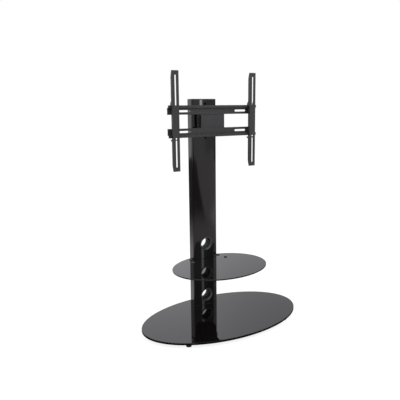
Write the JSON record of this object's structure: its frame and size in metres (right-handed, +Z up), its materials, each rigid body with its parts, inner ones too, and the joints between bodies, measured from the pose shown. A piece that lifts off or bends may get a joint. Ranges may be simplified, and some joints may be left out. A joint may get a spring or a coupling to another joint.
{
  "type": "tv stand with mount",
  "caption": "Pedestal screen stand with an oval glass base, a hollow bow-fronted column with cable holes, an oval glass shelf and a sliding, turning and tilting mounting head.",
  "frame": {"origin": "on the floor under the centre of the oval base", "axes": "+X to the right seen from the front, +Y to the back, +Z up"},
  "size_m": [0.8, 0.47, 1.155],
  "materials": {
    "black_glass": "polished opaque black",
    "column_gloss": "gloss black coat",
    "black_plastic": "satin black",
    "knob_plastic": "fine grain black",
    "foot_disc_plastic": "black",
    "black_rubber": "matt black",
    "powder_coat": "black powder coat",
    "zinc_steel": "bright zinc plate",
    "nylon": "natural nylon"
  },
  "bodies": {
    "stand": {"base_glass": "black_glass", "shelf_glass": "black_glass", "column_shell": "column_gloss", "column_cap": "black_plastic", "grommet_front_lower": "black_plastic", "grommet_front_upper": "black_plastic", "grommet_back_lower": "black_plastic", "grommet_back_upper": "black_plastic", "shelf_cap_front_left": "black_plastic", "shelf_cap_front_right": "black_plastic", "shelf_cap_back_left": "black_plastic", "shelf_cap_back_right": "black_plastic", "foot_disc_front_left": "foot_disc_plastic", "foot_disc_front_right": "foot_disc_plastic", "foot_disc_back_left": "foot_disc_plastic", "foot_disc_back_right": "foot_disc_plastic", "foot_pad_front_left": "black_rubber", "foot_pad_front_right": "black_rubber", "foot_pad_back_left": "black_rubber", "foot_pad_back_right": "black_rubber", "shelf_pad_front_left": "black_rubber", "shelf_pad_front_right": "black_rubber", "shelf_pad_back_left": "black_rubber", "shelf_pad_back_right": "black_rubber", "shelf_pad_arm_left": "black_rubber", "shelf_pad_arm_right": "black_rubber", "column_gasket": "black_rubber", "base_plate": "powder_coat", "shelf_bracket": "powder_coat", "base_bolt_front_left": "zinc_steel", "base_bolt_front_right": "zinc_steel", "base_bolt_back_left": "zinc_steel", "base_bolt_back_right": "zinc_steel", "shelf_bolt_front_left": "zinc_steel", "shelf_bolt_front_right": "zinc_steel", "shelf_bolt_back_left": "zinc_steel", "shelf_bolt_back_right": "zinc_steel", "bracket_screw_left_1": "zinc_steel", "bracket_screw_left_2": "zinc_steel", "bracket_screw_right_1": "zinc_steel", "bracket_screw_right_2": "zinc_steel"},
    "carriage": {"mount_saddle": "black_plastic", "carriage_plate": "powder_coat", "clamp_plate": "zinc_steel", "clamp_bolt_lower": "zinc_steel", "clamp_bolt_upper": "zinc_steel", "swivel_bolt": "zinc_steel", "swivel_nut": "zinc_steel", "swivel_washer_top": "nylon", "swivel_washer_bottom": "nylon"},
    "yoke": {"swivel_yoke": "powder_coat", "tilt_bolt": "zinc_steel"},
    "knob": {"tilt_knob": "knob_plastic"},
    "head": {"tilt_head": "powder_coat", "rail_upper": "powder_coat", "rail_lower": "powder_coat"},
    "left_arm": {"arm_left": "powder_coat", "lock_screw_left": "zinc_steel"},
    "right_arm": {"arm_right": "powder_coat", "lock_screw_right": "zinc_steel"}
  },
  "joints": [
    {"name": "height_slide", "type": "slide", "parent": "stand", "child": "carriage", "axis": [0, 0, 1], "range_m": [-0.04, 0.04]},
    {"name": "swivel", "type": "hinge", "parent": "carriage", "child": "yoke", "pos_m": [0, 0.112, 0.94], "axis": [0, 0, 1], "range_deg": [-15, 15]},
    {"name": "tilt", "type": "hinge", "parent": "yoke", "child": "head", "pos_m": [0, 0.084, 0.94], "axis": [1, 0, 0], "range_deg": [-5, 12]},
    {"name": "knob_turn", "type": "hinge", "parent": "yoke", "child": "knob", "pos_m": [0.0395, 0.084, 0.94], "axis": [1, 0, 0], "continuous": true},
    {"name": "left_arm_slide", "type": "slide", "parent": "head", "child": "left_arm", "axis": [1, 0, 0], "range_m": [-0.01, 0.11]},
    {"name": "right_arm_slide", "type": "slide", "parent": "head", "child": "right_arm", "axis": [1, 0, 0], "range_m": [-0.11, 0.01]}
  ]
}
